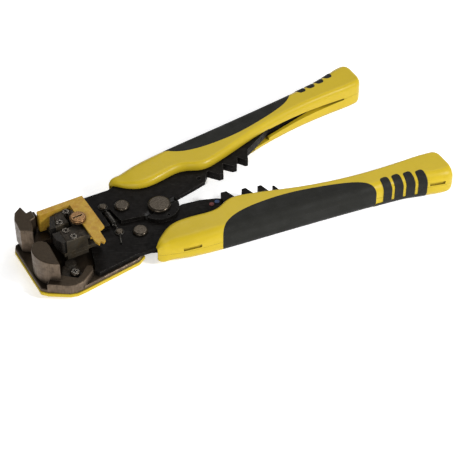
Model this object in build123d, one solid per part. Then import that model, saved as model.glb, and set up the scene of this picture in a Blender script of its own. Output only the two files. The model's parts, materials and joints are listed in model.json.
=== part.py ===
from build123d import *
import os

# Self-adjusting wire stripper, lying flat with its handles open.
# Millimetres. Built about the main pivot, +X towards the handle ends, +Z up, Z = 0 under the
# handles. At the end every piece is moved so that the origin is the bottom centre of the box.

# ---- driving dimensions ----
HANDLE_T = 14.6            # handle thickness over both shells
SPLIT_Z = 7.3              # height of the parting line between the shells
SPLIT_GAP = 0.1            # fine line between the shells
AXIS_Y = -0.7              # line that the open handles mirror about
GRIP_T = 2.2               # rubber thickness
END_X = {1: 128.2, -1: 130.6}   # end of the upper and of the lower handle
HEAD_FRONT_X = -67.7
PIVOT_R = 2.4              # shank radius of the main rivet
PIVOT_HEAD_R = 5.4
CLEAR = 0.3                # gap between pieces of different bodies
SHAFT_CLEAR = 0.05         # radial clearance of a shaft in its hole

# heights of the layers of the head: lower face, upper face
COVER = (1.8, 4.2)
CASTING = (4.2, 5.9)
LEVEL_1 = (5.9, 7.9)
LEVEL_2 = (8.2, 10.2)
FAR_PLATE = (3.6, 5.6)
JAW_TOP = 19.0
CARRIAGE = (10.5, 12.4)
STOP_TOP = 20.5

# handle edges along X, as distances from the mirror line
INNER_EDGE = [(-13.9, 23.8), (-12.0, 21.8), (-9.0, 18.8), (-4.7, 15.9), (1.5, 14.4), (8.0, 15.1),
              (17.0, 16.5), (22.0, 15.8), (29.0, 12.9), (37.0, 14.1), (50.0, 18.0), (62.0, 21.7),
              (76.0, 25.0), (92.0, 27.5), (108.0, 28.8), (120.0, 29.3), (130.6, 30.6)]
OUTER_EDGE = [(-13.9, 25.4), (-12.0, 26.6), (-9.0, 27.7), (-1.0, 29.9), (8.0, 31.2), (18.0, 32.3),
              (92.7, 40.8), (108.0, 43.1), (118.0, 46.0), (130.6, 49.2)]
# how far the front end draws in at top and bottom
NOSE = [(-13.9, 3.8), (-12.6, 2.4), (-9.0, 1.6), (-2.0, 0.9), (8.0, 0.3), (16.0, 0.0), (40.0, 0.0)]
STATIONS = [-13.9, -13.0, -11.6, -9.0] + [-5.0 + 5.35 * i for i in range(24)]
# the back end is rounded: radius over the faces, at the inner and at the outer corner
END_FACE_R = 2.4
END_INNER_R = 4.0
END_OUTER_R = 5.0
END_STEPS = (4.6, 3.0, 1.8, 0.9, 0.3, 0.0)
FACE_TRIM = 0.06           # taken off both faces so that they are truly flat
INNER_R = 3.0
OUTER_R = 5.0

# edge of the rubber grip on the handle faces: station, distance from the mirror line
GRIP_EDGE = [(14.6, 33.5), (16.6, 30.6), (22.0, 26.4), (30.0, 24.0), (40.0, 23.4), (54.0, 24.4),
             (68.0, 27.4), (80.0, 31.0), (87.5, 34.8), (91.0, 39.0), (91.6, 43.0)]
# stretch of the inner edge where the far shell is cut back
FAR_RELIEF = [(-4.0, 8.0), (-1.0, 18.0), (34.0, 18.0), (52.0, 20.6), (62.0, 22.6), (66.0, 8.0)]
# moulded recesses on the outer wall: first and last station; they share height and depth
RECESSES = [(-3.0, 5.5), (117.8, 125.0)]
RECESS_Z = (8.0, 9.7)
RECESS_DEPTH = 0.7
RIB_X = [97.2, 102.9, 108.6, 114.3]
RIB_W = 4.1
RIB_TIP_R = 1.4
RIB_REACH = 5.2            # how far a rib comes onto the handle faces
RIB_PROUD = 0.35
BAND_TOP = 4.0             # the band that joins the ribs runs below this height on the outer wall

# back edge of the steel inside a handle, from its end to its front
TANG_BACK = [(96.0, 36.0), (60.0, 31.5), (30.0, 28.4), (4.0, 26.6), (-7.0, 25.0)]

pieces = {}


def at(x, d, side):
    """Plan point at a station and a distance from the mirror line; side is 1 or -1."""
    return (x, AXIS_Y + side * d)


def prism(points, low, high):
    """Upright block over a closed outline given by its corners."""
    return extrude(Plane.XY.offset(low) * make_face(Polyline(points, close=True)), high - low)


def block(x0, x1, y0, y1, z0, z1):
    return Pos((x0 + x1) / 2, (y0 + y1) / 2, (z0 + z1) / 2) * Box(x1 - x0, y1 - y0, z1 - z0)


def rod(x, y, radius, low, high):
    return Pos(x, y, (low + high) / 2) * Cylinder(radius, high - low)


def rivet(x, y, shank_r, low, high, head_r, head_h, edge=0.6, tail_r=None):
    """Shank with a flat chamfered head on top and, if asked, a flat tail underneath."""
    head = chamfer(Cylinder(head_r, head_h).edges().group_by(Axis.Z)[-1], edge)
    body = rod(x, y, shank_r, low, high) + Pos(x, y, high + head_h / 2) * head
    if tail_r:
        tail = chamfer(Cylinder(tail_r, head_h).edges().group_by(Axis.Z)[0], edge)
        body += Pos(x, y, low - head_h / 2) * tail
    return body


def screw(x, y, shank_r, low, high, head_r, head_h, slot_w=0.8, cross=True):
    """Round-headed screw with a cross or a plain slot cut in its head."""
    head = fillet(Cylinder(head_r, head_h).edges().group_by(Axis.Z)[-1], head_h * 0.45)
    depth = head_h * 0.5
    cut = Box(head_r * 1.3, slot_w, depth * 2)
    if cross:
        cut += Box(slot_w, head_r * 1.3, depth * 2)
    head -= Pos(0, 0, head_h / 2) * cut
    return rod(x, y, shank_r, low, high) + Pos(x, y, high + head_h / 2) * head


# ---- handles ----
def along(curve, x):
    """Value of a smooth curve through (x, value) points, by cubic steps with averaged slopes."""
    if x <= curve[0][0]:
        return curve[0][1]
    if x >= curve[-1][0]:
        return curve[-1][1]
    k = next(i for i in range(len(curve) - 1) if curve[i][0] <= x <= curve[i + 1][0])
    slopes = [(q[1] - p[1]) / (q[0] - p[0]) for p, q in zip(curve, curve[1:])]
    start = slopes[k] if k == 0 else (slopes[k - 1] + slopes[k]) / 2
    end = slopes[k] if k + 1 == len(slopes) else (slopes[k] + slopes[k + 1]) / 2
    (x0, v0), (x1, v1) = curve[k], curve[k + 1]
    span = x1 - x0
    t = (x - x0) / span
    return (v0 * (1 + 2 * t) * (1 - t) ** 2 + start * span * t * (1 - t) ** 2
            + v1 * t * t * (3 - 2 * t) - end * span * t * t * (1 - t))


def end_draw(radius, to_end):
    """How far an edge draws in near the back end, so that the end is rounded to a radius."""
    if to_end >= radius:
        return 0.0
    return radius - (radius ** 2 - (radius - to_end) ** 2) ** 0.5


def handle_section(x, side):
    """Rounded section of a handle: small radius inside, large radius outside."""
    to_end = END_X[side] - x
    inner = along(INNER_EDGE, x) + end_draw(END_INNER_R, to_end)
    outer = along(OUTER_EDGE, x) - end_draw(END_OUTER_R, to_end)
    width = outer - inner
    height = HANDLE_T + 2 * FACE_TRIM - 2 * along(NOSE, x) - 2 * end_draw(END_FACE_R, to_end)
    plane = Plane(origin=(*at(x, (inner + outer) / 2, side), HANDLE_T / 2),
                  x_dir=(0, side, 0), z_dir=(side, 0, 0))
    face = Rectangle(width, height)
    face = fillet(face.vertices().group_by(Axis.X)[0], min(INNER_R, width * 0.3, height * 0.3))
    face = fillet(face.vertices().group_by(Axis.X)[-1], min(OUTER_R, width * 0.42, height * 0.42))
    return plane * face


def handle_body(side):
    """The whole handle as one form, before it is split into shells and rubber."""
    stations = STATIONS + [END_X[side] - step for step in END_STEPS]
    body = loft([handle_section(x, side) for x in stations])
    return body & block(-30, 140, -80, 80, 0, HANDLE_T)


def rubber_core(side):
    """What lies under the rubber: everything deeper than its thickness."""
    edge = [(x, along(OUTER_EDGE, x) - GRIP_T) for x in (5.0, 17.0, 48.1, 92.7, 108.0, 120.0)]
    points = [at(x, d, side) for x, d in edge] + [at(120.0, 5.0, side), at(5.0, 5.0, side)]
    return prism(points, GRIP_T, HANDLE_T - GRIP_T)


def grip_solid(side, body):
    edge = Spline([at(x, d, side) for x, d in GRIP_EDGE])
    back = Polyline([at(*GRIP_EDGE[-1], side), at(91.6, 60.0, side), at(14.6, 60.0, side),
                     at(*GRIP_EDGE[0], side)])
    region = extrude(Plane.XY.offset(-1) * make_face([edge, back]), HANDLE_T + 2)
    return (body & region) - rubber_core(side)


def rib_comb(side, body):
    """Ribs of rubber, joined low on the outer wall by a band that meets the grip."""
    start, end = GRIP_EDGE[-1][0], RIB_X[-1]
    ends = [(start, along(OUTER_EDGE, start) - GRIP_T), (end, along(OUTER_EDGE, end) - GRIP_T)]
    region = prism([at(x, d, side) for x, d in ends + [(end, 60.0), (start, 60.0)]], -1, BAND_TOP)
    for x in RIB_X:
        low = along(OUTER_EDGE, x) - RIB_REACH
        rib = Pos(*at(x, (low + 60.0) / 2, side)) * RectangleRounded(RIB_W, 60.0 - low, RIB_TIP_R)
        region += extrude(Plane.XY.offset(-1) * rib, HANDLE_T + 2)
    return ((Pos(0, side * RIB_PROUD, 0) * body) & region) - rubber_core(side)


def handle_pieces(name, side):
    body = handle_body(side)
    grip = grip_solid(side, body)
    ribs = rib_comb(side, body)
    shell = body - grip - ribs
    # pocket for the plates, open along the inner edge and closing to a fine slot at the end
    pocket = [at(-20.0, 8.0, side), at(71.0, 8.0, side), at(71.4, 25.6, side), at(97.0, 30.6, side)]
    pocket += [at(x, d + CLEAR, side) for x, d in TANG_BACK] + [at(-20.0, 24.6, side)]
    shell -= prism(pocket, FAR_PLATE[0] - CLEAR, LEVEL_2[1] + CLEAR)
    wedge = Polyline([(60.0, 3.8), (60.0, 10.6), (94.0, 9.2), (117.0, 7.9), (117.0, 7.0), (94.0, 6.2)],
                     close=True)
    slot = Pos(0, AXIS_Y + side * 26.0, 0) * extrude(make_face(Plane.XZ * wedge), 12.0, both=True)
    slot &= prism([at(60.0, 10.0, side), at(60.0, 24.5, side), at(97.0, 31.0, side),
                   at(117.0, 31.5, side), at(117.0, 10.0, side)], 0, HANDLE_T)
    shell -= slot
    for x0, x1 in RECESSES:
        floor = [at(x, along(OUTER_EDGE, x) - RECESS_DEPTH, side) for x in (x0, x1)]
        shell -= prism(floor + [at(x1, 60.0, side), at(x0, 60.0, side)], *RECESS_Z)
    pieces[f"{name}_shell_near"] = shell & block(-30, 140, -80, 80, SPLIT_Z + SPLIT_GAP / 2, HANDLE_T + 1)
    far = shell & block(-30, 140, -80, 80, -1, SPLIT_Z - SPLIT_GAP / 2)
    far -= prism([at(x, d, side) for x, d in FAR_RELIEF], -1, SPLIT_Z)
    pieces[f"{name}_shell_far"] = far
    pieces[f"{name}_grip"] = grip
    pieces[f"{name}_ribs"] = ribs


# ---- steel plates ----
LINK_U = (-15.3, 7.7)      # rivet on the upper plates that works the gripping arm
LINK_L = (-14.3, -9.1)
LINK_SHANK_R = 1.5
LINK_HEAD_R = 3.55
PIN_U = (-23.3, 11.2)      # spring pins
PIN_L = (-22.8, -5.0)
PIN_SHANK_R = 0.9
PIN_HEAD_R = 1.85
HUB_R = 9.2

UPPER_EDGE = [(7.4, 0.6), (19.8, 3.1), (26.2, 4.6), (28.5, 8.2)]
UPPER_TEETH = [(30.7, 10.8), (34.6, 6.0), (36.7, 5.9), (39.6, 12.0), (43.0, 8.2), (45.0, 8.0),
               (47.8, 12.8), (50.2, 9.2), (51.6, 9.0), (54.3, 14.8), (68.0, 22.4)]
LOWER_EDGE = [(6.8, -3.0), (10.5, -1.8), (19.2, -3.2), (26.4, -5.8), (28.2, -7.0)]
LOWER_TEETH = [(28.9, -5.6), (31.6, -5.9), (33.6, -11.8), (36.4, -11.8), (38.6, -8.1), (40.6, -8.2),
               (42.2, -13.6), (44.2, -13.8), (46.0, -9.8), (47.8, -10.0), (49.2, -15.6),
               (51.2, -15.6), (52.2, -12.9), (53.0, -13.2), (54.2, -19.4), (64.0, -23.4)]


def tang(side, back=TANG_BACK):
    """Steel inside a handle: end, then back edge towards the front."""
    return [at(73.0, 27.2, side), at(96.0, 31.4, side)] + [at(x, d, side) for x, d in back]


def upper_plates():
    front = [(-16.0, 21.0), (-31.0, 21.4), (-31.4, 8.0), (-31.0, -0.6), (-18.0, -0.9), (-12.6, -2.0),
             (-6.4, -3.2), (0.0, -3.0)]
    near = prism(front + UPPER_EDGE + UPPER_TEETH + tang(1), *LEVEL_2) + rod(0, 0, HUB_R, *LEVEL_2)
    rise = LEVEL_2[1] - LEVEL_2[0]
    bevel = Polyline([(-1.5, 0.4), (-1.5, rise + 0.1), (1.6, rise + 0.1), (0.0, 0.4)], close=True)
    near -= Pos(9.0, 0.9, LEVEL_2[0]) * Rot(0, 0, 11.5) * extrude(make_face(Plane.YZ * bevel), 18.0)
    near -= prism([(-25.4, 9.0), (-25.4, -2.0), (-19.4, -2.0), (-21.0, 9.0)], *LEVEL_2)
    near -= rod(1.1, -7.3, 0.7, *LEVEL_2) + rod(24.7, 7.9, 1.1, *LEVEL_2)
    near -= rod(*LINK_U, LINK_SHANK_R, *LEVEL_2) + rod(*PIN_U, PIN_SHANK_R, *LEVEL_2)
    pieces["upper_plate"] = near - rod(0, 0, PIVOT_R + SHAFT_CLEAR, *LEVEL_2)
    die = [(26.4, 15.0), (28.5, 8.2)] + UPPER_TEETH + tang(1, TANG_BACK[:3])
    pieces["upper_die_plate"] = prism(die, LEVEL_1[0], LEVEL_2[0])
    inner = [(-18.4, 19.5), (-19.2, 4.0), (-6.0, -6.5), (4.0, -6.5), (8.0, 2.4), (16.0, 10.0), (32.0, 17.8),
             (60.0, 22.4)]
    far = prism(inner + tang(1) + [(-15.0, 20.4)], *FAR_PLATE)
    far -= rod(*LINK_U, LINK_SHANK_R, *FAR_PLATE)
    pieces["upper_plate_far"] = far - rod(0, 0, PIVOT_R + SHAFT_CLEAR, *FAR_PLATE)


def lower_plates():
    front = [(-8.0, 2.4), (-33.4, 2.4), (-35.5, -1.2), (-38.8, -9.7), (-41.6, -19.7), (-42.9, -22.0),
             (-41.6, -24.1), (-22.0, -21.6), (-15.5, -22.2)]
    plate = prism(front + tang(-1)[::-1] + LOWER_TEETH[::-1] + LOWER_EDGE[::-1] + [(0.0, 2.4)], *LEVEL_1)
    plate += rod(0, 0, HUB_R, *LEVEL_1)
    plate -= rod(*LINK_L, LINK_SHANK_R, *LEVEL_1) + rod(*PIN_L, PIN_SHANK_R, *LEVEL_1)
    pieces["lower_plate"] = plate - rod(0, 0, PIVOT_R, *LEVEL_1)
    die = [(26.4, -14.0), (28.2, -7.0)] + LOWER_TEETH + tang(-1, TANG_BACK[:3])
    pieces["lower_die_plate"] = prism(die, LEVEL_1[1], LEVEL_2[1])


# ---- head, fixed side ----
HEAD_OUTLINE = [(HEAD_FRONT_X, 10.0), (HEAD_FRONT_X, -18.6), (-65.6, -21.0), (-57.6, -26.4),
                (-54.4, -27.4), (-50.0, -27.0), (-34.0, -24.7), (-22.0, -22.9), (-18.6, -20.6),
                (-18.6, -13.0), (-20.6, -9.0), (-20.6, 2.0), (-26.0, 17.0), (-46.0, 18.4), (-66.6, 12.2)]
COVER_OUTLINE = [(-68.2, 9.4), (-68.2, -19.2), (-65.8, -21.8), (-57.4, -27.0), (-54.2, -28.0),
                 (-49.8, -27.6), (-34.0, -25.3), (-21.8, -23.4), (-17.8, -21.0), (-17.8, -12.6),
                 (-20.9, -8.6), (-20.9, 2.0), (-26.2, 17.2), (-46.0, 18.8), (-66.6, 12.8)]
JAW_PIVOT = (-35.0, 13.4)
JAW_PIN_R = 2.0
PAD_SCREW = (-51.3, -19.2)


def curved_prism(straight, arc_middle, low, high):
    """Upright block whose last side, from the last corner back to the first, is an arc."""
    sides = [Polyline(straight), ThreePointArc(straight[-1], arc_middle, straight[0])]
    return extrude(Plane.XY.offset(low) * make_face(sides), high - low)


def head_fixed():
    top, foot = CASTING[1], CASTING[0]
    base = prism(HEAD_OUTLINE, *CASTING)
    base = chamfer(base.edges().group_by(Axis.Z)[-1], 0.5)
    sides = [(-58.9, -21.6), (-57.9, -9.0), (-58.2, -5.9), (-60.3, -3.7), (-63.6, -3.5), (-66.2, -7.2)]
    jaw = curved_prism(sides, (-65.2, -15.6), top, JAW_TOP)
    jaw = chamfer(jaw.edges().group_by(Axis.Z)[-1], 0.3)
    skirt = prism([(-62.6, -17.6), (-57.6, -18.4), (-51.8, -23.3), (-49.8, -22.2), (-45.0, -17.8),
                   (-43.0, -19.4), (-43.9, -22.4), (-50.6, -27.1), *HEAD_OUTLINE[2:5][::-1]], foot, top + 3.4)
    skirt = chamfer(skirt.edges().group_by(Axis.Z)[-1], 0.4)
    casting = base + jaw + skirt
    casting -= rod(*PAD_SCREW, 1.3, foot, top)
    casting -= rod(*JAW_PIVOT, JAW_PIN_R, foot, top)
    pieces["jaw_casting"] = casting
    cover = prism(COVER_OUTLINE, *COVER)
    cover = chamfer(cover.edges().group_by(Axis.Z)[0], 0.8)
    pieces["back_cover"] = cover
    pad = prism([(-57.0, -17.9), (-54.4, -12.6), (-49.0, -11.6), (-48.2, -16.6), (-48.6, -20.6),
                 (-52.2, -22.4)], top, top + 1.7)
    pad += rod(-50.4, -12.4, 2.5, top, LEVEL_1[1])
    pieces["pad_plate"] = pad - rod(*PAD_SCREW, 1.3, top, top + 2)
    pieces["pad_screw"] = screw(*PAD_SCREW, 1.3, foot, top + 1.7, 2.3, 1.6)
    pieces["jaw_pivot_pin"] = rod(*JAW_PIVOT, JAW_PIN_R, foot, 10.1)


def rivets():
    head_h = 1.5
    pieces["pivot_rivet"] = rivet(0, 0, PIVOT_R, FAR_PLATE[0] - CLEAR, LEVEL_2[1] + CLEAR, PIVOT_HEAD_R,
                                  head_h, 0.7, PIVOT_HEAD_R)
    pieces["link_rivet_lower"] = rivet(*LINK_L, LINK_SHANK_R, *LEVEL_1, LINK_HEAD_R, head_h, 0.6, 3.0)
    pieces["link_rivet_upper"] = rivet(*LINK_U, LINK_SHANK_R, FAR_PLATE[0], LEVEL_2[1], LINK_HEAD_R,
                                       head_h, 0.6, 3.0)
    pieces["spring_pin_lower"] = rivet(*PIN_L, PIN_SHANK_R, LEVEL_1[0], LEVEL_1[1], PIN_HEAD_R, 1.2, 0.4)
    pieces["spring_pin_upper"] = rivet(*PIN_U, PIN_SHANK_R, *LEVEL_2, PIN_HEAD_R, 1.2, 0.4)
    coil = Pos(-23.05, 2.9, 9.65) * Rot(90, 0, 0) * Cylinder(1.3, 10.4)
    hooks = Pos(-23.2, 8.45, 9.65) * Box(0.6, 0.9, 0.6) + Pos(-22.85, -2.75, 9.65) * Box(0.6, 1.2, 0.6)
    pieces["return_spring"] = coil + hooks
    leg = Pos(-24.4, -9.6, LEVEL_1[1] + 0.45) * Rot(0, 0, -20) * Rot(90, 0, 0) * Cylinder(0.45, 5.6)
    pieces["spring_clip"] = leg
    pieces["mark_red"] = rod(22.6, -8.6, 1.15, LEVEL_1[1], LEVEL_1[1] + 0.3)
    pieces["mark_blue"] = rod(25.6, -8.2, 1.15, LEVEL_1[1], LEVEL_1[1] + 0.3)


# ---- gripping arm ----
def upper_jaw():
    low = LEVEL_1[0] + CLEAR
    hook = prism([(-65.5, 6.4), (-61.0, 3.3), (-59.3, 7.2), (-58.7, 10.4), (-56.2, 11.2), (-55.9, 16.3),
                  (-58.5, 15.9), (-59.3, 21.0), (-63.2, 18.2), (-65.0, 14.2)], low, JAW_TOP)
    hook = chamfer(hook.edges().group_by(Axis.Z)[-1], 0.3)
    arm = prism([(-62.0, 5.0), (-56.0, 4.2), (-40.0, 4.2), (-33.2, 7.0), (-33.2, 16.5), (-40.0, 18.0),
                 (-58.0, 15.6)], low, 10.1)
    tail = prism([(-36.0, 5.0), (-17.0, 3.2), (-11.6, 4.2), (-11.0, 8.0), (-13.6, 11.6), (-30.0, 17.6),
                  (-38.0, 17.6)], low, LEVEL_1[1])
    slot = prism([(-17.5, 10.0), (-17.0, 5.7), (-10.0, 3.6), (-10.0, 8.4)], low, LEVEL_1[1])
    wall = prism([(-59.0, 14.6), (-59.0, 18.6), (-54.0, 18.0), (-54.0, 14.6)], low, 16.2)
    wall = chamfer(wall.edges().group_by(Axis.Z)[-1], 0.3)
    body = hook + arm + wall + tail - slot
    pieces["upper_jaw"] = body - rod(*JAW_PIVOT, JAW_PIN_R + SHAFT_CLEAR, low, 10.1)


# ---- cutter carriage ----
BLADE_X = -53.7
MOUTH_LOW = -1.9           # lower and upper cutting edge at rest
MOUTH_HIGH = 1.0
CUTTER_PINS = {1: (-42.8, 7.8), 2: (-48.2, 2.7), 3: (-47.9, -3.6), 4: (-46.3, -8.6)}
STOP_SCREW = (-40.6, -0.9)


def blade_comb(outline, low, high, edge):
    """Stack of thin blades over an outline, grooved between the blades and toothed along y = edge."""
    comb = prism(outline, low, high)
    count = 6
    pitch = (high - low) / count
    skin = comb - Pos(0.8, 0, 0) * comb
    for i in range(count):
        z = low + (i + 0.35) * pitch
        comb -= skin & block(-60, -40, -12, 12, z, z + 0.3 * pitch)
    for i in range(3):
        notch = Rot(0, 0, 45) * Box(0.5, 0.5, high - low)
        comb -= Pos(BLADE_X + 0.9 + i * 0.8, edge, (low + high) / 2) * notch
    return comb


def cutter():
    bed = CARRIAGE[1]
    plate = block(-52.0, -33.4, -10.4, 9.0, *CARRIAGE)
    plate += block(-50.5, -40.4, -10.3, -3.6, LEVEL_2[0], CARRIAGE[0])
    plate += block(-50.5, -46.6, -9.0, -3.6, LEVEL_1[0] + CLEAR, LEVEL_2[0])
    pieces["cutter_carriage"] = plate
    lower = block(-50.5, -40.4, -10.3, MOUTH_LOW, bed, JAW_TOP)
    lower += block(-43.4, -38.6, -10.3, 3.2, 16.6, JAW_TOP)
    lower = chamfer(lower.edges().group_by(Axis.Z)[-1], 0.3)
    lower -= rod(*STOP_SCREW, 1.2, 16.6, JAW_TOP)
    upper = prism([(-50.5, MOUTH_HIGH), (-44.4, MOUTH_HIGH), (-44.4, 6.4), (-40.6, 6.4), (-40.6, 9.3),
                   (-48.0, 9.3)], bed + CLEAR, JAW_TOP)
    upper = chamfer(upper.edges().group_by(Axis.Z)[-1], 0.3)
    for number, (x, y) in CUTTER_PINS.items():
        pin = rod(x, y, 1.5, JAW_TOP - 1.5, JAW_TOP + 0.5) - rod(x, y, 0.75, JAW_TOP - 0.2, JAW_TOP + 0.5)
        pieces[f"cutter_pin_{number}"] = pin
        seat = rod(x, y, 1.5, JAW_TOP - 1.5, JAW_TOP)
        if number <= 2:
            upper -= seat
        else:
            lower -= seat
    pieces["lower_cutter"] = lower
    pieces["upper_cutter"] = upper
    outline = [(BLADE_X, MOUTH_LOW), (BLADE_X, -6.0), (-52.4, -9.6), (-50.5, -9.6), (-50.5, MOUTH_LOW)]
    pieces["lower_cutter_blades"] = blade_comb(outline, bed, JAW_TOP - 0.4, MOUTH_LOW)
    outline = [(BLADE_X, MOUTH_HIGH), (-50.6, MOUTH_HIGH), (-48.5, 8.6), (-50.3, 8.6)]
    pieces["upper_cutter_blades"] = blade_comb(outline, bed + CLEAR, JAW_TOP - 0.4, MOUTH_HIGH)
    pieces["stop_screw"] = screw(*STOP_SCREW, 1.2 - SHAFT_CLEAR, 16.8, STOP_TOP + CLEAR, 3.7, 1.6, 1.0,
                                 cross=False)


def wire_stop():
    under = JAW_TOP + CLEAR
    arm = prism([(-39.8, 12.7), (-39.8, -17.4), (-38.9, -19.6), (-37.6, -18.2), (-36.6, -19.6),
                 (-35.5, -18.6), (-35.2, -11.7), (-32.2, -10.4), (-32.4, 12.7)], under, STOP_TOP)
    strip = block(-55.0, -32.4, 9.7, 12.7, 17.0, STOP_TOP)
    front = block(-55.0, -50.0, 9.7, 12.7, 10.6, STOP_TOP)
    wall = block(-38.2, -36.8, -8.0, 5.0, 13.2, under)
    stop = arm + strip + front + wall
    stop = fillet(stop.edges().filter_by(Axis.Z).filter_by_position(Axis.X, -55.1, -54.9), 0.8)
    pieces["wire_stop"] = stop - rod(*STOP_SCREW, 2.0, under - 1, STOP_TOP + 1)


def handle_screws():
    """Three cross-headed screws, sunk in the far face of each handle."""
    for name, side in (("upper", 1), ("lower", -1)):
        for number, (x, d) in enumerate([(8.0, 24.0), (52.0, 20.8), (104.0, 34.0)], 1):
            px, py = at(x, d, side)
            cross = Box(2.8, 0.7, 1.0) + Box(0.7, 2.8, 1.0)
            pieces[f"{name}_handle_screw_{number}"] = rod(px, py, 2.2, 0.3, 1.3) - Pos(px, py, 0.3) * cross
            pieces[f"{name}_shell_far"] -= rod(px, py, 2.2, -1, 1.3)


handle_pieces("upper", 1)
handle_pieces("lower", -1)
upper_plates()
lower_plates()
head_fixed()
rivets()
upper_jaw()
cutter()
wire_stop()
handle_screws()

box = Compound(children=[Part() + piece for piece in pieces.values()]).bounding_box()
ORIGIN = Vector((box.min.X + box.max.X) / 2, (box.min.Y + box.max.Y) / 2, box.min.Z)
os.makedirs("parts", exist_ok=True)
for name, piece in pieces.items():
    export_step(Pos(-ORIGIN.X, -ORIGIN.Y, -ORIGIN.Z) * piece, f"parts/{name}.step")
print("pivot at", -ORIGIN.X, -ORIGIN.Y, -ORIGIN.Z, "size", box.size)
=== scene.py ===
"""Looks of the self-adjusting wire stripper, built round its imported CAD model.

Lengths are in millimetres until they reach Blender, which takes metres: MM turns one into the other.
"""

import json
import math

import bmesh
import bpy
from mathutils import Matrix, Vector

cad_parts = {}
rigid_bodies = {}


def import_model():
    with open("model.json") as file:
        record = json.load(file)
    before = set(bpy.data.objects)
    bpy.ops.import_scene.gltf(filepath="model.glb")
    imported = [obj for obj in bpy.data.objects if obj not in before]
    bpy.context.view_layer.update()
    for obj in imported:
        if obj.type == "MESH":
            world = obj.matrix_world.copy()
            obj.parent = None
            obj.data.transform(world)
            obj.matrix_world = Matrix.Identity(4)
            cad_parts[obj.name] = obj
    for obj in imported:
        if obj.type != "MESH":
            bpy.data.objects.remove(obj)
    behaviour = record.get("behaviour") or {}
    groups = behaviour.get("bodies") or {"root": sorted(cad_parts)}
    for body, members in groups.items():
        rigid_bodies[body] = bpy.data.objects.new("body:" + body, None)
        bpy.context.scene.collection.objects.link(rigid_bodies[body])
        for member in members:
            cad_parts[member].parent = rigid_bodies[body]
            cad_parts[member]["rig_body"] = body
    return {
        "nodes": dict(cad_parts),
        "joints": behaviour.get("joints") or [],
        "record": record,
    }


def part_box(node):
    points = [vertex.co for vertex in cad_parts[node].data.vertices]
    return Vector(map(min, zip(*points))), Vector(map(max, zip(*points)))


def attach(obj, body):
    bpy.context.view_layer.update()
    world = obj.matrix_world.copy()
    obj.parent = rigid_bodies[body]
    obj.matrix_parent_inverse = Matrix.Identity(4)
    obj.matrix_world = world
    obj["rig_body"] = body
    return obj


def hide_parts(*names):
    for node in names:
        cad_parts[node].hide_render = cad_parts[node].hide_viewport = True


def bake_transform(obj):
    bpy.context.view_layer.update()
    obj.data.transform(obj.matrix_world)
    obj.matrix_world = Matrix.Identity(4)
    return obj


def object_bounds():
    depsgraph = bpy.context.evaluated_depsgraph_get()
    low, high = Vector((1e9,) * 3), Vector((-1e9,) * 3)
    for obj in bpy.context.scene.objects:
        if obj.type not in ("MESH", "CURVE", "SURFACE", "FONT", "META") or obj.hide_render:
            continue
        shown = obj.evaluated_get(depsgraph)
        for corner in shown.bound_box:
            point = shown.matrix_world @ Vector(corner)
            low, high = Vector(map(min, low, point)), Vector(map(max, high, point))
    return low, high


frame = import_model()
CAD_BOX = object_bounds()
NODES = frame["nodes"]
SLOT_OF = {part["node"]: part["material_slot"] for part in frame["record"]["subparts"]}
JOINTS = {joint["name"]: joint for joint in frame["joints"]}
MM = 0.001

# ---- camera and light ----
AZIMUTH = 28.8             # degrees, from +Y towards +X
ELEVATION = 43.5           # degrees below the horizontal
DISTANCE = 727.0
LENS = 123.2
TARGET = (22.45, -31.15, 7.3)   # from the main pivot
SENSOR = 36.0
SKY_LOW = (1.0, 1.0, 1.0, 1.0)    # bright round the horizon, so that upright faces are well lit
SKY_HIGH = (0.2, 0.2, 0.21, 1.0)
SKY_STRENGTH = 0.5
FLOOR_REACH = 2500.0       # from the object's middle to the floor's edge
FLOOR_GAP = 0.02           # keeps the floor just clear of the object


def at_pivot(x, y, z):
    """Place in millimetres, given from the main pivot and from the surface that the tool lies on."""
    pivot = JOINTS["handle_close"]["pos_m"]
    return Vector((x + pivot[0] / MM, y + pivot[1] / MM, z))


def set_camera():
    """Looks down on the near side of the tool, with the handles running away to the right."""
    az, el = math.radians(AZIMUTH), math.radians(ELEVATION)
    forward = Vector((math.sin(az) * math.cos(el), math.cos(az) * math.cos(el), -math.sin(el)))
    camera = bpy.data.objects.new("camera", bpy.data.cameras.new("camera"))
    camera.data.lens = LENS
    camera.data.sensor_width = SENSOR
    camera.data.clip_start = 0.01
    camera.location = (at_pivot(*TARGET) - forward * DISTANCE) * MM
    camera.rotation_euler = forward.to_track_quat("-Z", "Y").to_euler()
    bpy.context.scene.collection.objects.link(camera)
    bpy.context.scene.camera = camera


def area_light(name, spot, size, power):
    """Square soft light at a spot, aimed at the object. Its power is in watts."""
    light = bpy.data.lights.new(name, "AREA")
    light.size = size * MM
    light.energy = power
    lamp = bpy.data.objects.new(name, light)
    lamp.location = Vector(spot) * MM
    lamp.rotation_euler = (-Vector(spot)).to_track_quat("-Z", "Y").to_euler()
    bpy.context.scene.collection.objects.link(lamp)


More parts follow.
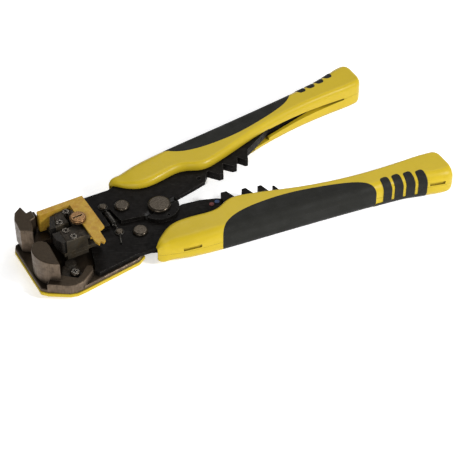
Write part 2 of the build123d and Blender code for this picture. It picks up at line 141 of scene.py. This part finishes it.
def set_light():
    """Sky that darkens upwards, two soft lights, and a small one for glints on the round steel heads."""
    world = bpy.data.worlds.new("studio")
    bpy.context.scene.world = world
    world.use_nodes = True
    tree = world.node_tree
    coords = tree.nodes.new("ShaderNodeTexCoord")
    split = tree.nodes.new("ShaderNodeSeparateXYZ")
    ramp = tree.nodes.new("ShaderNodeValToRGB")
    tree.links.new(coords.outputs["Generated"], split.inputs[0])
    tree.links.new(split.outputs["Z"], ramp.inputs[0])
    tree.links.new(ramp.outputs["Color"], tree.nodes["Background"].inputs["Color"])
    ramp.color_ramp.elements[0].position = 0.05
    ramp.color_ramp.elements[0].color = SKY_LOW
    ramp.color_ramp.elements[1].position = 0.9
    ramp.color_ramp.elements[1].color = SKY_HIGH
    tree.nodes["Background"].inputs["Strength"].default_value = SKY_STRENGTH
    area_light("key", (-520.0, -620.0, 420.0), 420.0, 2.5)
    area_light("top", (250.0, 300.0, 700.0), 500.0, 2.4)
    area_light("glint", (400.0, -580.0, 490.0), 110.0, 5.0)
    bpy.context.scene.view_settings.view_transform = "Standard"


def set_floor():
    """Plain white floor that glows a little, so that it stays white in the soft light."""
    mesh = bpy.data.meshes.new("floor")
    reach = FLOOR_REACH * MM
    corners = [(-reach, -reach, 0), (reach, -reach, 0), (reach, reach, 0), (-reach, reach, 0)]
    mesh.from_pydata(corners, [], [(0, 1, 2, 3)])
    floor = bpy.data.objects.new("floor", mesh)
    floor.location.z = CAD_BOX[0][2] - FLOOR_GAP * MM
    bpy.context.scene.collection.objects.link(floor)
    paper = Finish("floor_paper", (0.9, 0.9, 0.9), roughness=0.8)
    paper.shader.inputs["Emission Color"].default_value = (1.0, 1.0, 1.0, 1.0)
    paper.shader.inputs["Emission Strength"].default_value = 0.5
    floor.data.materials.append(paper.material)


# ---- materials ----
class Finish:
    """Procedural material. Texture scales are in millimetres and stay with the piece as it moves."""

    def __init__(self, name, colour, roughness=0.5, metallic=0.0, specular=0.5, coat=0.0):
        self.material = bpy.data.materials.new(name)
        self.material.use_nodes = True
        self.tree = self.material.node_tree
        self.shader = self.tree.nodes["Principled BSDF"]
        self.shader.inputs["Base Color"].default_value = (*colour, 1.0)
        self.shader.inputs["Roughness"].default_value = roughness
        self.shader.inputs["Metallic"].default_value = metallic
        self.shader.inputs["Specular IOR Level"].default_value = specular
        self.shader.inputs["Coat Weight"].default_value = coat
        self.shader.inputs["Coat Roughness"].default_value = 0.2
        self.coords = self.tree.nodes.new("ShaderNodeTexCoord")
        self.colour = None
        self.start = colour
        self.height = None

    def add(self, kind, **inputs):
        """New node with values or links for its inputs, whose names have _ in place of a space."""
        node = self.tree.nodes.new(kind)
        for key, value in inputs.items():
            self.put(node.inputs[key.replace("_", " ")], value)
        return node

    def put(self, socket, value):
        """Sets a socket to a value, or links another socket to it."""
        if isinstance(value, bpy.types.NodeSocket):
            self.tree.links.new(value, socket)
        else:
            socket.default_value = value

    def scaled(self, stretch=(1.0, 1.0, 1.0), turn=0.0):
        """Object coordinates in millimetres, turned about Z by some degrees, then stretched."""
        turned = self.add("ShaderNodeMapping", Vector=self.coords.outputs["Object"],
                          Rotation=(0.0, 0.0, math.radians(turn)))
        return self.add("ShaderNodeMapping", Vector=turned.outputs[0],
                        Scale=[1 / (MM * s) for s in stretch]).outputs[0]

    def noise(self, size, detail=3.0, rough=0.55, stretch=(1.0, 1.0, 1.0), turn=0.0, low=0.35,
              high=0.65):
        """Noise with features of about that size, spread so that low gives 0 and high gives 1."""
        node = self.add("ShaderNodeTexNoise", Vector=self.scaled([size * s for s in stretch], turn), Scale=1.0,
                        Detail=detail, Roughness=rough)
        spread = self.add("ShaderNodeMapRange", Value=node.outputs["Fac"], From_Min=low, From_Max=high)
        return spread.outputs["Result"]

    def edges(self, radius, low=0.04, high=0.3):
        """Mask that is 1 along outer edges."""
        bevel = self.tree.nodes.new("ShaderNodeBevel")
        bevel.samples = 6
        bevel.inputs["Radius"].default_value = radius * MM
        plain = self.tree.nodes.new("ShaderNodeNewGeometry")
        dot = self.tree.nodes.new("ShaderNodeVectorMath")
        dot.operation = "DOT_PRODUCT"
        self.tree.links.new(bevel.outputs[0], dot.inputs[0])
        self.tree.links.new(plain.outputs["Normal"], dot.inputs[1])
        spread = self.add("ShaderNodeMapRange", Value=dot.outputs["Value"], From_Min=1.0 - low,
                          From_Max=1.0 - high)
        return spread.outputs["Result"]

    def painted_wall_light(self):
        """Mask that is 1 on walls and 0 on faces that look up or down; the finishes use it to paint the walls
        lighter, as painted light.
        """
        geometry = self.tree.nodes.new("ShaderNodeNewGeometry")
        split = self.add("ShaderNodeSeparateXYZ", Vector=geometry.outputs["Normal"])
        square = self.times(split.outputs["Z"], split.outputs["Z"])
        spread = self.add("ShaderNodeMapRange", Value=square, From_Min=0.75, From_Max=0.2)
        return spread.outputs["Result"]

    def painted_gap_shade(self, reach, low=0.35, high=0.95):
        """Mask that is 1 in corners and gaps, from ambient occlusion; the finishes darken there as painted
        shade.
        """
        node = self.add("ShaderNodeAmbientOcclusion", Distance=reach * MM)
        node.samples = 8
        spread = self.add("ShaderNodeMapRange", Value=node.outputs["AO"], From_Min=high, From_Max=low)
        return spread.outputs["Result"]

    def times(self, a, b):
        node = self.tree.nodes.new("ShaderNodeMath")
        node.operation = "MULTIPLY"
        self.put(node.inputs[0], a)
        self.put(node.inputs[1], b)
        return node.outputs[0]

    def tint(self, mask, colour, amount=1.0):
        """Mixes a colour into the base colour where the mask is 1."""
        mix = self.tree.nodes.new("ShaderNodeMix")
        mix.data_type = "RGBA"
        self.put(mix.inputs["Factor"], self.times(mask, amount))
        first, second = [s for s in mix.inputs if s.type == "RGBA"]
        self.put(first, self.colour if self.colour else (*self.start, 1.0))
        self.put(second, (*colour, 1.0))
        self.colour = [s for s in mix.outputs if s.type == "RGBA"][0]
        self.put(self.shader.inputs["Base Color"], self.colour)
        return self

    def vary(self, name, mask, low, high):
        """Lets a shader value run from low to high with the mask."""
        spread = self.add("ShaderNodeMapRange", Value=mask, To_Min=low, To_Max=high)
        self.put(self.shader.inputs[name], spread.outputs["Result"])
        return self

    def bump(self, mask, depth, strength=1.0):
        """Relief of that depth in millimetres."""
        node = self.add("ShaderNodeBump", Height=mask, Distance=depth * MM, Strength=strength)
        if self.height:
            self.put(node.inputs["Normal"], self.height)
        self.height = node.outputs["Normal"]
        self.put(self.shader.inputs["Normal"], self.height)
        return self


def yellow_plastic(colour=(0.53, 0.385, 0.016)):
    """Smooth moulded shells: faint blotches, painted shade in the gaps and paler, worn edges."""
    f = Finish("yellow_plastic", colour, roughness=0.4, specular=0.2, coat=0.03)
    blotch = f.noise(14.0, detail=2.0)
    grain = f.noise(0.28, detail=2.0)
    f.tint(blotch, [c * 0.9 for c in colour], 0.35)
    f.tint(f.noise(1.6, detail=4.0, low=0.5, high=0.8), [c * 0.82 for c in colour], 0.25)
    # painted shade: darkens corners and gaps
    f.tint(f.painted_gap_shade(2.2), (0.07, 0.045, 0.008), 0.8)
    f.tint(f.edges(0.35, 0.05, 0.4), (0.66, 0.53, 0.09), 0.35)
    f.vary("Roughness", f.noise(5.0), 0.3, 0.44)
    f.bump(blotch, 0.05, 0.5)
    return f.bump(grain, 0.006)


def stop_plastic():
    """Mottled, orange-yellow moulding of the wire stop."""
    f = Finish("stop_plastic", (0.45, 0.275, 0.033), roughness=0.4, specular=0.2, coat=0.03)
    f.tint(f.noise(3.4, detail=5.0, low=0.42, high=0.62), (0.35, 0.167, 0.02), 0.65)
    f.tint(f.noise(1.1, detail=4.0, low=0.55, high=0.75), (0.667, 0.467, 0.083), 0.4)
    # painted shade: darkens corners and gaps
    f.tint(f.painted_gap_shade(1.6), (0.13, 0.08, 0.02), 0.7)
    f.tint(f.edges(0.3), (0.8, 0.6, 0.167), 0.4)
    f.vary("Roughness", f.noise(2.5), 0.25, 0.45)
    f.bump(f.noise(2.4, detail=3.0), 0.05)
    return f.bump(f.noise(0.25), 0.006)


def black_rubber():
    """Matt inlays with a fine grain and greyish edges."""
    f = Finish("black_rubber", (0.0117, 0.0117, 0.0097), roughness=0.62, specular=0.14)
    f.tint(f.noise(0.5, detail=4.0, low=0.5, high=0.72), (0.027, 0.027, 0.022), 0.5)
    f.tint(f.noise(22.0, detail=2.0), (0.0183, 0.0183, 0.0158), 0.5)
    f.tint(f.edges(0.5), (0.075, 0.073, 0.067), 0.4)
    f.vary("Roughness", f.noise(7.0, detail=3.0), 0.5, 0.72)
    f.bump(f.noise(0.4, detail=3.0), 0.018)
    return f.bump(f.noise(0.14), 0.008)


def black_steel():
    """Blackened plates: long faint scratches, and bare steel here and there along the edges."""
    f = Finish("black_steel", (0.005, 0.0043, 0.0038), roughness=0.36, specular=0.05)
    f.tint(f.noise(3.2, detail=6.0, rough=0.65, low=0.45, high=0.7), (0.0117, 0.01, 0.0092), 0.6)
    scratch = f.noise(0.35, detail=2.0, stretch=(14.0, 0.6, 1.0), turn=24.0, low=0.62, high=0.74)
    f.tint(scratch, (0.058, 0.055, 0.05), 0.5)
    wear = f.times(f.edges(0.28, 0.03, 0.22), f.noise(1.5, detail=3.0, low=0.35, high=0.6))
    f.tint(wear, (0.2, 0.192, 0.175), 0.6)
    f.vary("Roughness", f.noise(1.8, detail=5.0), 0.32, 0.58)
    f.bump(scratch, -0.01)
    return f.bump(f.noise(0.5, detail=5.0), 0.012)


def cast_metal():
    """Jaws: dark on top, with walls painted lighter as painted light; the walls carry vertical grinding marks.
    """
    f = Finish("cast_metal", (0.05, 0.037, 0.025), roughness=0.45, metallic=0.75, specular=0.1)
    striae = f.noise(0.28, detail=3.0, stretch=(1.0, 1.0, 26.0), low=0.3, high=0.7)
    # painted light: walls lighter than the tops
    f.tint(f.painted_wall_light(), (0.14, 0.103, 0.072), 0.6)
    # grinding marks are real, but they are lightened only on the walls, which is painted light
    f.tint(f.times(striae, f.painted_wall_light()), (0.22, 0.165, 0.12), 0.6)
    f.tint(f.noise(2.6, detail=5.0, low=0.45, high=0.68), (0.04, 0.03, 0.022), 0.5)
    # painted shade: darkens corners and gaps
    f.tint(f.painted_gap_shade(3.0), (0.016, 0.013, 0.01), 0.9)
    f.tint(f.edges(0.35), (0.333, 0.275, 0.217), 0.4)
    f.vary("Roughness", f.noise(1.2, detail=4.0), 0.33, 0.55)
    f.bump(striae, 0.022)
    return f.bump(f.noise(0.45, detail=4.0), 0.02)


def dark_steel():
    """Cutting jaws and their carriage: mottled, with the walls painted lighter and browner as painted light.
    """
    f = Finish("dark_steel", (0.02, 0.015, 0.0108), roughness=0.5, metallic=0.5, specular=0.08)
    f.tint(f.noise(0.8, detail=5.0, rough=0.7, low=0.48, high=0.66), (0.092, 0.07, 0.05), 0.6)
    # painted light: walls lighter and browner than the tops
    f.tint(f.painted_wall_light(), (0.092, 0.073, 0.045), 0.55)
    f.tint(f.noise(2.8, detail=4.0), (0.05, 0.047, 0.04), 0.6)
    # painted shade: darkens corners and gaps
    f.tint(f.painted_gap_shade(2.5), (0.008, 0.008, 0.008), 0.8)
    f.tint(f.edges(0.3), (0.333, 0.283, 0.217), 0.5)
    f.vary("Roughness", f.noise(1.0, detail=4.0), 0.34, 0.6)
    return f.bump(f.noise(0.35, detail=5.0), 0.025)


def blade_steel():
    """Stacks of thin blades, which show as layers along Z."""
    f = Finish("blade_steel", (0.015, 0.0133, 0.0117), roughness=0.5, metallic=0.5, specular=0.12)
    layers = f.noise(0.22, detail=2.0, stretch=(1.0, 1.0, 30.0), low=0.45, high=0.6)
    f.tint(layers, (0.058, 0.05, 0.04), 0.6)
    f.tint(f.noise(0.9, detail=5.0, low=0.5, high=0.62), (0.02, 0.02, 0.02), 0.7)
    f.tint(f.edges(0.2), (0.333, 0.292, 0.233), 0.4)
    f.vary("Roughness", f.noise(0.6), 0.3, 0.55)
    return f.bump(f.noise(0.3, detail=4.0), 0.02)


def turned_steel(name="rivet_steel", colour=(0.05, 0.04, 0.029), rim_highlight=(0.85, 0.8, 0.72), ring=0.22):
    """Round heads: fine rings about each piece's own axis, dull in the middle, with a painted highlight on the
    rim.
    """
    f = Finish(name, colour, roughness=0.38, metallic=0.85, specular=0.5)
    rings = f.add("ShaderNodeTexWave", Vector=f.scaled(), Scale=1.0 / (ring * 6.28), Distortion=1.2,
                  Detail=3.0)
    rings.wave_type = "RINGS"
    rings.rings_direction = "Z"
    f.tint(rings.outputs["Fac"], [c * 1.25 for c in colour], 0.3)
    f.tint(f.noise(0.7, detail=5.0, low=0.45, high=0.7), [c * 0.55 for c in colour], 0.7)
    # painted shade: darkens corners and gaps
    f.tint(f.painted_gap_shade(1.5), (0.033, 0.03, 0.027), 0.6)
    # painted highlight: bright colour along the rim
    f.tint(f.edges(0.5, 0.05, 0.22), rim_highlight, 0.7)
    f.vary("Roughness", f.noise(0.9, detail=4.0), 0.2, 0.36)
    f.bump(rings.outputs["Fac"], 0.003)
    return f.bump(f.noise(0.5, detail=3.0), 0.005)


def spring_steel():
    """Dull, dark wire."""
    f = Finish("spring_steel", (0.075, 0.07, 0.062), roughness=0.36, metallic=0.9, specular=0.4)
    f.tint(f.noise(0.7, detail=4.0, low=0.45, high=0.65), (0.03, 0.027, 0.023), 0.7)
    # painted shade: darkens corners and gaps
    f.tint(f.painted_gap_shade(1.2), (0.02, 0.02, 0.02), 0.8)
    f.vary("Roughness", f.noise(0.5), 0.25, 0.48)
    return f.bump(f.noise(0.2, detail=3.0), 0.008)


def paint(name, colour):
    """Small dabs of paint, worn darker in spots."""
    f = Finish(name, colour, roughness=0.5, specular=0.4)
    f.tint(f.noise(0.6, detail=4.0, low=0.45, high=0.65), [c * 0.4 for c in colour], 0.6)
    f.vary("Roughness", f.noise(0.4), 0.4, 0.65)
    return f.bump(f.noise(0.25), 0.02)


FINISHES = {
    "yellow_plastic": yellow_plastic(),
    "black_rubber": black_rubber(),
    "black_steel": black_steel(),
    "jaw_casting": cast_metal(),
    "dark_steel": dark_steel(),
    "blade_steel": blade_steel(),
    "rivet_steel": turned_steel(),
    # the second colour is the painted highlight on the rim
    "screw_steel": turned_steel("screw_steel", (0.14, 0.12, 0.1), (0.7, 0.66, 0.6)),
    "spring_steel": spring_steel(),
    # the second colour is the painted highlight on the rim
    "bronze": turned_steel("bronze", (0.233, 0.125, 0.053), (0.9, 0.62, 0.34), 0.35),
    "red_paint": paint("red_paint", (0.14, 0.014, 0.011)),
    "blue_paint": paint("blue_paint", (0.012, 0.045, 0.15)),
}
STOP_FINISH = stop_plastic()


# ---- pieces ----
MERGE = 0.0005             # points closer than this are one
FLAT_ANGLE = 0.6           # degrees; faces that meet at less become one
SHARP_ANGLE = 32.0         # degrees; edges that turn more get rounded
ROUND_SEGMENTS = 3


def finish_of(node):
    """Finish of a node's slot. The stop shares the handles' slot, but is darker and more orange."""
    return STOP_FINISH if node == "wire_stop" else FINISHES[SLOT_OF[node]]


def place(piece, node):
    """Links a piece that stands for a CAD node, rides on its body and takes its slot."""
    bpy.context.scene.collection.objects.link(piece)
    piece.data.materials.clear()
    piece.data.materials.append(finish_of(node).material)
    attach(piece, NODES[node]["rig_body"])
    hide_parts(node)


def baked(piece):
    """The piece's mesh with its modifiers worked in."""
    graph = bpy.context.evaluated_depsgraph_get()
    mesh = bpy.data.meshes.new_from_object(piece.evaluated_get(graph))
    piece.modifiers.clear()
    return mesh


def soften(node, width, turned=False):
    """Replaces a CAD node by the same form with its edges rounded.

    A turned piece gets its own origin on its axis, so that the rings in its finish are centred.
    """
    shape = bmesh.new()
    shape.from_mesh(NODES[node].data)
    bmesh.ops.remove_doubles(shape, verts=shape.verts, dist=MERGE * MM)
    bmesh.ops.dissolve_limit(shape, angle_limit=math.radians(FLAT_ANGLE), verts=shape.verts, edges=shape.edges)
    mesh = bpy.data.meshes.new(node + "_form")
    shape.to_mesh(mesh)
    shape.free()
    piece = bpy.data.objects.new(node + "_form", mesh)
    bpy.context.scene.collection.objects.link(piece)
    mesh.shade_smooth()
    bevel = piece.modifiers.new("round", "BEVEL")
    bevel.width = width * MM
    bevel.segments = ROUND_SEGMENTS
    bevel.limit_method = "ANGLE"
    bevel.angle_limit = math.radians(SHARP_ANGLE)
    bevel.harden_normals = True
    weigh = piece.modifiers.new("weigh", "WEIGHTED_NORMAL")
    weigh.keep_sharp = True
    piece.data = baked(piece)
    bpy.context.scene.collection.objects.unlink(piece)
    if turned:
        low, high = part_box(node)
        middle = (low + high) / 2
        piece.data.transform(Matrix.Translation(-middle))
        piece.location = middle
    place(piece, node)


# ---- return spring ----
SPRING_WIRE = 0.42         # thickness of the wire
SPRING_TURNS = 15
TURN_STEPS = 16
COIL_FROM_LOWER = 2.6      # where the coil starts and ends, from the two ends of the spring's box
COIL_FROM_UPPER = 1.6
LOOP_SWEEP = 330.0         # degrees that the wire runs round a pin
LOOP_STEPS = 14
LOOP_DROP = 0.75           # from the top of a pin's head down to the wire
LOOP_GAP = 0.02            # between the wire and the pin


def spring_path():
    """Coil along Y between the two spring pins, with a loop round each pin's head."""
    low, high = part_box("return_spring")
    centre = (low + high) / (2 * MM)
    radius = (high.x - low.x) / (2 * MM) - SPRING_WIRE / 2
    start, end = low.y / MM + COIL_FROM_LOWER, high.y / MM - COIL_FROM_UPPER
    steps = SPRING_TURNS * TURN_STEPS
    coil = []
    for i in range(steps + 1):
        angle = 2 * math.pi * i / TURN_STEPS
        coil.append(Vector((centre.x + radius * math.sin(angle), start + (end - start) * i / steps,
                            centre.z + radius * math.cos(angle))))
    loops = []
    for pin, first in (("spring_pin_lower", 90.0), ("spring_pin_upper", -90.0)):
        pin_low, pin_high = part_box(pin)
        middle = (pin_low + pin_high) / (2 * MM)
        reach = (pin_high.x - pin_low.x) / (2 * MM) + SPRING_WIRE / 2 + LOOP_GAP
        height = pin_high.z / MM - LOOP_DROP
        turn = [math.radians(first + LOOP_SWEEP * i / LOOP_STEPS) for i in range(LOOP_STEPS + 1)]
        loops.append([Vector((middle.x + reach * math.cos(a), middle.y + reach * math.sin(a), height))
                      for a in turn])
    return loops[0][::-1] + coil + loops[1]


def return_spring():
    """Coil of round wire that stretches between the two handles' pins."""
    curve = bpy.data.curves.new("return_spring_wire", "CURVE")
    curve.dimensions = "3D"
    curve.bevel_depth = SPRING_WIRE / 2 * MM
    curve.bevel_resolution = 3
    curve.resolution_u = 1
    curve.use_fill_caps = True
    points = spring_path()
    spline = curve.splines.new("POLY")
    spline.points.add(len(points) - 1)
    for spot, point in zip(spline.points, points):
        spot.co = (*(point * MM), 1.0)
    guide = bpy.data.objects.new("return_spring_guide", curve)
    bpy.context.scene.collection.objects.link(guide)
    graph = bpy.context.evaluated_depsgraph_get()
    mesh = bpy.data.meshes.new_from_object(guide.evaluated_get(graph))
    bpy.data.objects.remove(guide)
    mesh.shade_smooth()
    piece = bpy.data.objects.new("return_spring_wire", mesh)
    bpy.context.scene.collection.objects.link(piece)
    piece.data.materials.clear()
    piece.data.materials.append(FINISHES["spring_steel"].material)
    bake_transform(piece)
    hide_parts("return_spring")


# ---- rounding of edges, in millimetres ----
ROUNDED = {"jaw_casting": 0.3, "upper_jaw": 0.3, "back_cover": 0.45, "wire_stop": 0.35, "pad_plate": 0.25,
           "lower_cutter": 0.2, "upper_cutter": 0.2, "cutter_carriage": 0.2, "spring_clip": 0.1,
           "lower_cutter_blades": 0.05, "upper_cutter_blades": 0.05}
ROUNDED.update({node: 0.12 for node in NODES if "plate" in node and node != "pad_plate"})
ROUNDED.update({node: 0.22 for node in NODES if "shell" in node or "grip" in node or "ribs" in node})
TURNED = {"pivot_rivet": 0.35, "jaw_pivot_pin": 0.2}
TURNED.update({node: 0.3 for node in NODES if "link_rivet" in node})
TURNED.update({node: 0.2 for node in NODES if "spring_pin" in node})
TURNED.update({node: 0.08 for node in NODES if "cutter_pin" in node})

set_camera()
set_light()
set_floor()
return_spring()
for node, width in ROUNDED.items():
    soften(node, width)
for node, width in TURNED.items():
    soften(node, width, turned=True)
for node, obj in NODES.items():
    obj.data.materials.clear()
    obj.data.materials.append(finish_of(node).material)
